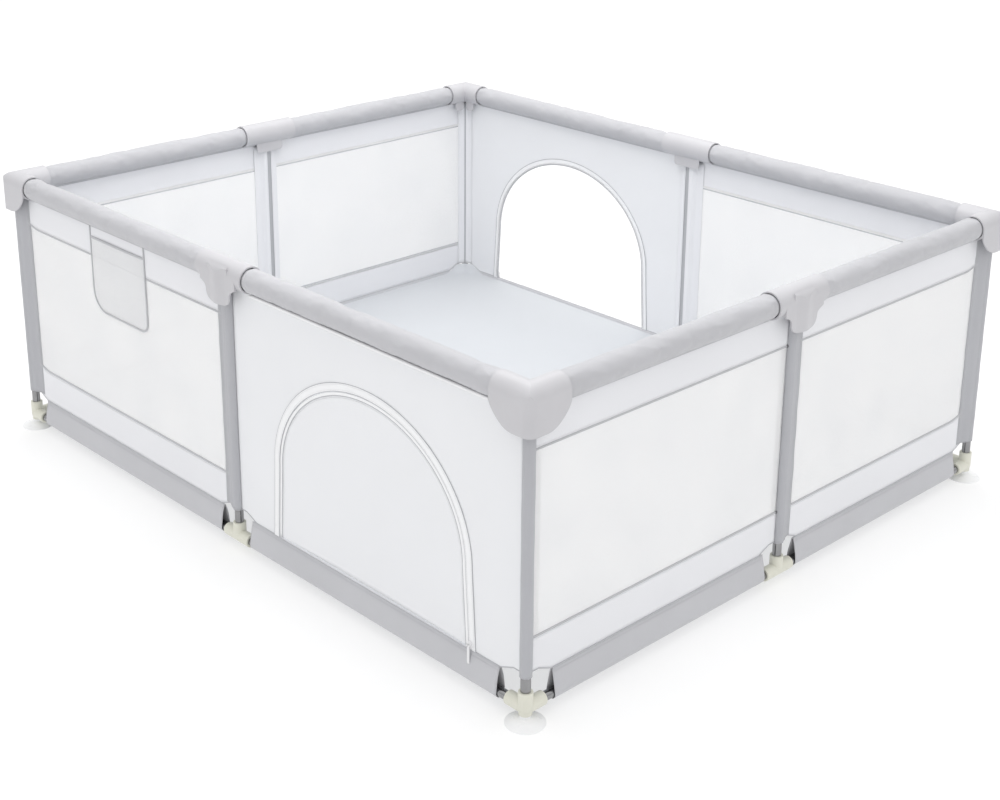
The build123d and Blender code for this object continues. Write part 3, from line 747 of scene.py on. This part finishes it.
def add_mesh_panel(side, half_index, node):
    matrix = wall_frame(side)
    left, right = wall_limits(side, half_index)
    x = columns(left, right, 0.012)
    seed = 40 + TURN[side] / 30 + half_index
    lifted = {("front", 0): "left", ("back", 0): "left", ("right", 1): "right", ("left", 1): "right"}
    lifted = lifted.get((side, half_index), "")
    foot, low_band = lower_edge(x, left, right), band_edge(x, left, right, BAND_Z[0], lifted)
    high_band, top = band_edge(x, left, right, BAND_Z[1], lifted), np.full(len(x), WALL_Z[1])
    hidden = 0.008
    net_grid = sheet_between(x, low_band - hidden, high_band + hidden, 36, 0.0003, 0.0006, seed)
    net = thicken(piece(f"{node}_net", [net_grid], WALL_NET, matrix), 0.0004)
    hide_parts(node)
    trims, rows_of, tacks = [], [], []
    bands = (("lower_band", foot, low_band, low_band), ("upper_band", high_band, top, high_band))
    for name, low, high, edge in bands:
        band_grid = sheet_between(x, low, high, 10, -0.0003, 0.0009, seed + 7)
        band = piece(f"{node}_{name}", [band_grid], BAND_CLOTH, matrix)
        thicken(band, 0.0008)
        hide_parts(node)
        trims.append(ribbon(at_height(x, -0.0006, edge), OUT, 0.0048, 0.0026))
        inward = 0.0052 if name == "upper_band" else -0.0052
        rows_of.append(at_height(x, -0.0012, edge + inward))
        post = x[-1] if half_index == 0 else x[0]
        tack = np.array([(post + d, -0.0016, edge[0]) for d in (-0.0025, 0, 0.0025)])
        tacks.append(ribbon(tack, OUT, 0.0062, 0.0036))
    piece(f"{node}_tacks", tacks, TACK_THREAD, matrix)
    trims.append(foot_trim(x, foot))
    trim = piece(f"{node}_trim", trims, TRIM_CLOTH, matrix)
    sewn = stitches(f"{node}_stitching", rows_of, OUT, WHITE_THREAD, matrix)


# Doorways

def arch_line(grow, count=96):
    """Doorway line from the left foot over the top to the right foot, in a wall's x and z."""
    across, rise, foot = ARCH_HALF + grow, ARCH_TOP_Z - ARCH_Z + grow, FOOT_HALF + grow
    turn = np.linspace(math.pi, 0, count)
    top = np.stack([across * np.cos(turn), ARCH_Z + rise * np.sin(turn)], 1)
    leg = np.linspace(0, 1, 14)[:-1, None]
    left = np.array([-foot, SILL_Z]) * (1 - leg) + np.array([-across, ARCH_Z]) * leg
    right = (left * (-1, 1))[::-1]
    line = np.concatenate([left, top, right])
    return line + (DOOR_X, 0)


def spread(line, where):
    """Points at shares of a line's length."""
    run = lengths(line)
    return np.stack([np.interp(where * run[-1], run, line[:, k]) for k in range(2)], 1)


def door_wall_grid(left, right, seed):
    """Cloth between the doorway's line and the wall's outer edge, as spokes from one to the other."""
    low, high, top = WALL_Z[0], WALL_Z[0] + BELT_RISE, WALL_Z[1]
    flat, fall = BELT_FLAT - WALL_CLEAR, HEM_CORNER_GAP - WALL_CLEAR
    outer = [(DOOR_X - FOOT_HALF, low), (left + fall, low), (left + flat, high), (left, high), (left, top)]
    outer += [(right, top), (right, high), (right - flat, high), (right - fall, low)]
    outer.append((DOOR_X + FOOT_HALF, low))
    shares = [0, 0.03, 0.045, 0.07, 0.37, 0.63, 0.93, 0.955, 0.97, 1.0]
    counts = [4, 3, 4, 40, 56, 40, 4, 3, 4]
    inner_line = arch_line(0.0, 160)
    inner, rim = [], []
    for k, count in enumerate(counts):
        t = np.linspace(0, 1, count, endpoint=k == len(counts) - 1)[:, None]
        rim.append(np.array(outer[k]) * (1 - t) + np.array(outer[k + 1]) * t)
        inner.append(spread(inner_line, shares[k] * (1 - t[:, 0]) + shares[k + 1] * t[:, 0]))
    inner, rim = np.concatenate(inner), np.concatenate(rim)
    t = np.linspace(0, 1, 30)[:, None, None]
    flat_points = inner[None] * (1 - t) + rim[None] * t
    x, z = flat_points[..., 0], flat_points[..., 1]
    hold = np.sin(t[..., 0] * math.pi) ** 0.7
    y = -np.abs(ripple(x, z, 0.2, seed)) * 0.0016 * hold
    return grid(np.stack([x, y, z], -1), np.stack([x, z], -1))


def flap_grid(seed):
    """Closed door flap: columns from the sill up to the doorway's line."""
    line = arch_line(-DOOR_GAP, 140)
    where = np.linspace(0, 1, 110)
    top = spread(line, where)
    across = np.linspace(line[0, 0], line[-1, 0], len(where))
    foot = np.stack([across, np.full(len(where), SILL_Z + DOOR_GAP)], 1)
    t = np.linspace(0, 1, 40)[:, None, None]
    flat_points = foot[None] * (1 - t) + top[None] * t
    x, z = flat_points[..., 0], flat_points[..., 1]
    y = -np.abs(ripple(x, z, 0.18, seed)) * 0.0014 * (np.sin(t[..., 0] * math.pi) ** 0.7)
    return grid(np.stack([x, y, z], -1), np.stack([x, z], -1))


def on_wall(line, y):
    """A line in a wall's x and z, as points at distance y from its plane."""
    return np.stack([line[:, 0], np.full(len(line), y), line[:, 1]], 1)


def to_hem(line):
    """Carries a doorway line down over the hem's seam at both feet."""
    drop = (0, -0.0045)
    return np.concatenate([[line[0] + drop], line, [line[-1] + drop]])


def coil(line, outward, step=0.0022):
    """Nylon zipper coil along a line: one small rounded tooth after another, each a short ribbon."""
    spots = resample(line, step)
    ways = np.gradient(spots, axis=0)
    ways /= np.linalg.norm(ways, axis=1)[:, None]
    outward = np.asarray(outward, float)
    teeth = []
    for spot, way in zip(spots[1:-1], ways[1:-1]):
        side = np.cross(way, outward)
        ends = np.array([spot - side * 0.0024, spot, spot + side * 0.0024])
        teeth.append(ribbon(ends, outward, 0.0014, 0.0016, 6))
    return teeth


def add_door_wall(side, node):
    matrix = wall_frame(side)
    left, right = wall_limits(side, 1)
    wall_grid = door_wall_grid(left, right, 60 + TURN[side])
    wall = piece(f"{node}_cloth", [wall_grid], DOOR_CLOTH, matrix)
    thicken(wall, 0.0010)
    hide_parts(node)
    middle = to_hem(arch_line(TAPE / 2))
    band = ribbon(on_wall(middle, -0.0016), OUT, TAPE, 0.0016, 14)
    band = piece(f"{side}_door_binding", [band], TAPE_CLOTH, matrix)
    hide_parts(f"{side}_zipper_tape")
    edges = []
    for face, y in ((OUT, -0.0014), (IN, 0.0012)):
        for grow in (TAPE, 0.0008):
            edges.append(ribbon(on_wall(to_hem(arch_line(grow)), y), face, 0.0022, 0.0018, 8))
    x = columns(left, right, 0.012)
    for part in (x[x < DOOR_X - FOOT_HALF - TAPE], x[x > DOOR_X + FOOT_HALF + TAPE]):
        edges.append(foot_trim(part, lower_edge(part, left, right)))
    trim = piece(f"{side}_door_trim", edges, TRIM_CLOTH, matrix)
    inner = ribbon(on_wall(middle, 0.0010), IN, TAPE, 0.0012, 12)
    inner = piece(f"{side}_door_inner_tape", [inner], TAPE_CLOTH, matrix)
    teeth = coil(on_wall(arch_line(0.0042), 0.0022), IN)
    teeth = piece(f"{side}_zipper_coil", teeth, COIL_NYLON, matrix)
    rows_of = [on_wall(arch_line(grow), -0.0024) for grow in (0.0035, TAPE - 0.0030)]
    sewn = stitches(f"{side}_door_stitching", rows_of, OUT, WHITE_THREAD, matrix)


def add_front_flap():
    body, matrix = "front_door_flap", wall_frame("front")
    made_grid = flap_grid(90)
    flap = piece("front_door_flap_cloth", [made_grid], DOOR_CLOTH, matrix, body)
    thicken(flap, 0.0008)
    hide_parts("front_door_flap")
    line = arch_line(-DOOR_GAP - FLAP_EDGE / 2)
    hem = ribbon(on_wall(line, -0.0006), OUT, FLAP_EDGE, 0.0022, 10)
    hem = piece("front_flap_edge", [hem], TAPE_CLOTH, matrix, body)
    line = arch_line(-DOOR_GAP - FLAP_EDGE)
    fold = ribbon(on_wall(line, -0.0010), OUT, 0.0024, 0.0020, 8)
    fold = piece("front_flap_fold", [fold], TRIM_CLOTH, matrix, body)
    rows_of = [on_wall(arch_line(-DOOR_GAP - FLAP_EDGE - 0.004), -0.0009)]
    sewn = stitches("front_flap_stitching", rows_of, OUT, WHITE_THREAD, matrix, body)


def add_back_pleats():
    """Each pleat of the open back flap, a slightly bowed fold of cloth in the place of its CAD solid."""
    for index in range(1, 6):
        node = f"back_flap_pleat_{index}"
        corners = np.array([v.co for v in frame["nodes"][node].data.vertices])
        low, high = corners.min(0), corners.max(0)
        slope = np.polyfit(corners[:, 2], corners[:, 1], 1)
        top = corners[np.abs(corners[:, 2] - high[2]) < 0.004]
        bottom = corners[np.abs(corners[:, 2] - low[2]) < 0.004]
        rows, cols = 12, 90
        z = np.linspace(low[2] + 0.0004, high[2] - 0.0004, rows)
        grid_points = np.empty((rows, cols, 3))
        for r, height in enumerate(z):
            share = (height - low[2]) / (high[2] - low[2])
            start = bottom[:, 0].min() * (1 - share) + top[:, 0].min() * share
            end = bottom[:, 0].max() * (1 - share) + top[:, 0].max() * share
            inset = 0.006 * share if index == 5 else 0.0
            grid_points[r, :, 0] = np.linspace(start + inset, end - inset, cols)
            grid_points[r, :, 1] = np.polyval(slope, height)
            grid_points[r, :, 2] = height
        grid_points[..., 1] += ripple(grid_points[..., 0], grid_points[..., 2], 0.09, 120 + index) * 0.0002
        made_grid = grid(grid_points)
        made = piece(f"back_flap_fold_{index}", [made_grid], DOOR_CLOTH, body=node)
        thicken(made, 0.0007)
        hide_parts(node)


# Pocket

POCKET_ROUND = (0.050, 0.024)  # radii of its lower corners


def pocket_line():
    """Outline down the left side, along the rounded bottom and up the right side."""
    left, right = pocket_low.x, pocket_high.x
    bottom, top = pocket_low.z, WALL_Z[1] - 0.001
    big, small = POCKET_ROUND
    turn = np.linspace(math.pi, 1.5 * math.pi, 14)
    points = [np.array([[left, top], [left, (top + bottom + big) / 2]])]
    points.append(np.stack([left + big + big * np.cos(turn), bottom + big + big * np.sin(turn)], 1))
    turn = np.linspace(1.5 * math.pi, 2 * math.pi, 12)
    centre_x, centre_z = right - small, bottom + small
    points.append(np.stack([centre_x + small * np.cos(turn), centre_z + small * np.sin(turn)], 1))
    points.append(np.array([[right, (top + bottom + small) / 2], [right, top]]))
    return np.concatenate(points)


def add_pocket():
    matrix = wall_frame("front")
    left, right, bottom, mouth = pocket_low.x, pocket_high.x, pocket_low.z, pocket_high.z
    depth = wall_low.y - pocket_low.y
    columns_x = np.linspace(left, right, 46)
    big, small = POCKET_ROUND
    low_edge = np.full(len(columns_x), float(bottom))
    for radius, past in ((big, left + big - columns_x), (small, columns_x - right + small)):
        past = np.clip(past, 0, radius)
        low_edge += radius - np.sqrt(radius ** 2 - past ** 2)
    t = np.linspace(0, 1, 30)[:, None]
    z = low_edge[None, :] * (1 - t) + mouth * t
    x = np.broadcast_to(columns_x[None, :], z.shape)
    belly = np.sin(np.clip((x - left) / (right - left), 0, 1) * math.pi) ** 0.6
    rise = np.minimum(1, 1.4 * np.sin(np.minimum(1, t * 0.62 + 0.02) * math.pi))
    rise = rise * (1 - 0.7 * ease((t - 0.5) / 0.5))  # the mouth lies nearly flat
    y = -0.0012 - (depth - 0.0030) * belly * rise
    net_grid = grid(np.stack([x, y, z], -1), np.stack([x, z], -1))
    net = thicken(piece("pocket_net", [net_grid], POCKET_NET, matrix), 0.0005)
    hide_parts("net_pocket")
    line = resample(on_wall(pocket_line(), -0.0022), 0.006)
    binding = ribbon(line, OUT, 0.0048, 0.0030)
    binding = piece("pocket_binding", [binding], TRIM_CLOTH, matrix)
    rim = np.stack([x[-1], y[-1] - 0.0002, z[-1]], 1)
    mouth_binding = ribbon(rim, OUT, 0.0055, 0.0022)
    mouth_binding = piece("pocket_mouth_binding", [mouth_binding], TRIM_CLOTH, matrix)
    rows_of = [line + (0, -0.0015, 0), rim + (0, -0.0012, 0)]
    sewn = stitches("pocket_stitching", rows_of, OUT, WHITE_THREAD, matrix)


# Floor sheet

MAT_EDGE = 0.0022  # from the wall plane
MAT_TURN_UP = 0.045  # how far in from a wall the sheet starts to rise at the posts


def post_rise(reach):
    """How much the sheet's edge follows the walls' lower edges up, at a distance from a post."""
    fall = HEM_CORNER_GAP + 0.012 - BELT_FLAT
    return (BELT_RISE + 0.006) * (1 - np.clip((reach - BELT_FLAT) / fall, 0, 1))


def add_floor():
    def steps(half):
        near = np.array([0, 5, 9, 12, 15, 18, 24, 32, 40, 47, 54, 60, 66]) / 1000
        run = np.linspace(0.066, half - 0.072, int(half / 0.02))
        ends = half - np.array([66, 60, 54, 48, 43, 38, 32, 26, 20, 16, 12, 8, 4, MAT_EDGE * 1000]) / 1000
        right = np.concatenate([near[1:], run[1:], ends])
        return np.concatenate([-right[::-1], [0], right])

    def edge(s, half):
        """How far the sheet stays from a wall's plane at s along it: more at the posts."""
        at_mid = SLEEVE_R + 0.002 - MAT_EDGE
        mid = at_mid * np.sqrt(np.clip(1 - (s / (SLEEVE_R + 0.006)) ** 2, 0, 1))
        corner = at_mid * ease(1 - (half - np.abs(s)) / (SLEEVE_R + 0.008))
        return np.maximum(mid, corner)

    xs, ys = steps(HALF_LENGTH), steps(HALF_WIDTH)
    x, y = np.meshgrid(xs, ys, indexing="xy")
    near_y = ease((np.abs(y) / HALF_WIDTH - 0.9) / 0.1)
    near_x = ease((np.abs(x) / HALF_LENGTH - 0.9) / 0.1)
    pulled_y = y - np.sign(y) * edge(x, HALF_LENGTH) * near_y
    pulled_x = x - np.sign(x) * edge(y, HALF_WIDTH) * near_x
    inside = np.minimum(HALF_LENGTH - np.abs(x), HALF_WIDTH - np.abs(y))
    hold = ease(inside / 0.08)
    z = MAT_TOP_Z - 0.0012 + (ripple(x, y, 0.30, 200) * 0.0009 + ripple(x, y, 0.09, 201) * 0.0004) * hold
    z = z - 0.0008 * (1 - hold)
    from_x, from_y = HALF_LENGTH - np.abs(x), HALF_WIDTH - np.abs(y)
    rise_x = post_rise(np.minimum(np.abs(x), from_x)) * ease(1 - from_y / MAT_TURN_UP)
    rise_y = post_rise(np.minimum(np.abs(y), from_y)) * ease(1 - from_x / MAT_TURN_UP)
    z = z + np.maximum(rise_x, rise_y)
    made_grid = grid(np.stack([pulled_x, pulled_y, z], -1), np.stack([x, y], -1))
    sheet = thicken(piece("floor_sheet", [made_grid], MAT_CLOTH), 0.0016)
    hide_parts("floor_mat")


# Putting it together

for wall_side in TURN:
    add_rail_covers(wall_side)
    add_hems(wall_side)
add_post_sleeves()
add_liners()
for wall_side, half_index, place_name in (
    ("front", 0, "front"), ("back", 0, "back"), ("right", 0, "right_front"),
    ("right", 1, "right_back"), ("left", 0, "left_back"), ("left", 1, "left_front"),
):
    add_mesh_panel(wall_side, half_index, f"{place_name}_mesh_panel")
add_door_wall("front", "front_door_panel")
add_door_wall("back", "back_door_panel")
add_front_flap()
add_back_pleats()
add_pocket()
add_floor()


# Stage, light and camera

def add_stage():
    n = Nodes("studio_floor")
    n.tint(n.noise(n.place(), 1.5), (0.50, 0.50, 0.50), (0.52, 0.52, 0.52))
    n.finish(Emission_Color=(1, 1, 1, 1), Emission_Strength=0.52)
    n.finish(Roughness=0.95, Specular_IOR_Level=0.1)
    mesh = bpy.data.meshes.new("studio_floor")
    size = 40.0
    corners = [(-size, -size, 0), (size, -size, 0), (size, size, 0), (-size, size, 0)]
    mesh.from_pydata(corners, [], [(0, 1, 2, 3)])
    mesh.materials.append(n.material)
    floor = bpy.data.objects.new("studio_floor", mesh)
    floor.location.z = cad_low.z - 0.0005
    bpy.context.scene.collection.objects.link(floor)


def add_sky():
    """Soft studio light from all round, stronger from above."""
    world = bpy.data.worlds.new("studio")
    world.use_nodes = True
    tree = world.node_tree
    place = tree.nodes.new("ShaderNodeTexCoord")
    parts = tree.nodes.new("ShaderNodeSeparateXYZ")
    ramp = tree.nodes.new("ShaderNodeValToRGB")
    back = tree.nodes["Background"]
    tree.links.new(place.outputs["Generated"], parts.inputs[0])
    tree.links.new(parts.outputs[2], ramp.inputs[0])
    tree.links.new(ramp.outputs[0], back.inputs[0])
    ramp.color_ramp.elements[0].color = (0.53, 0.53, 0.54, 1)
    ramp.color_ramp.elements[1].color = (1.0, 1.0, 1.0, 1)
    ramp.color_ramp.elements[1].position = 0.9
    back.inputs[1].default_value = 1.18
    bpy.context.scene.world = world


def add_lamp(name, place, target, size, power, colour=(1, 1, 1)):
    lamp = bpy.data.lights.new(name, "AREA")
    lamp.shape = "DISK"
    lamp.size = size
    lamp.energy = power
    lamp.color = colour
    made = bpy.data.objects.new(name, lamp)
    made.location = place
    made.rotation_mode = "QUATERNION"
    made.rotation_quaternion = (Vector(target) - Vector(place)).to_track_quat("-Z", "Y")
    bpy.context.scene.collection.objects.link(made)


CAMERA_PLACE = (2.6545, -2.5095, 1.7268)
CAMERA_AZIMUTH, CAMERA_PITCH, CAMERA_ROLL = 46.18, 18.39, 0.48
CAMERA_LENS = 59.31
CAMERA_SHIFT_Y = -0.15


def add_camera():
    az, pitch, roll = (math.radians(a) for a in (CAMERA_AZIMUTH, CAMERA_PITCH, CAMERA_ROLL))
    ahead = Vector((-math.sin(az) * math.cos(pitch), math.cos(az) * math.cos(pitch), -math.sin(pitch)))
    right = Vector((math.cos(az), math.sin(az), 0))
    up = right.cross(ahead)
    right, up = right * math.cos(roll) + up * math.sin(roll), up * math.cos(roll) - right * math.sin(roll)
    data = bpy.data.cameras.new("camera")
    data.lens = CAMERA_LENS
    data.sensor_width = 36.0
    data.shift_y = CAMERA_SHIFT_Y
    data.clip_start, data.clip_end = 0.05, 100.0
    made = bpy.data.objects.new("camera", data)
    turn = Matrix((right, up, -ahead)).transposed().to_4x4()
    made.matrix_world = Matrix.Translation(CAMERA_PLACE) @ turn
    bpy.context.scene.collection.objects.link(made)
    bpy.context.scene.camera = made


add_stage()
add_sky()
add_lamp("key", (-1.2, 1.0, 3.4), (0, 0, 0.3), 2.6, 22)
add_lamp("top", (0.1, -0.1, 2.3), (0, 0, 0), 1.3, 14)
add_camera()
bpy.context.scene.view_settings.view_transform = "Standard"
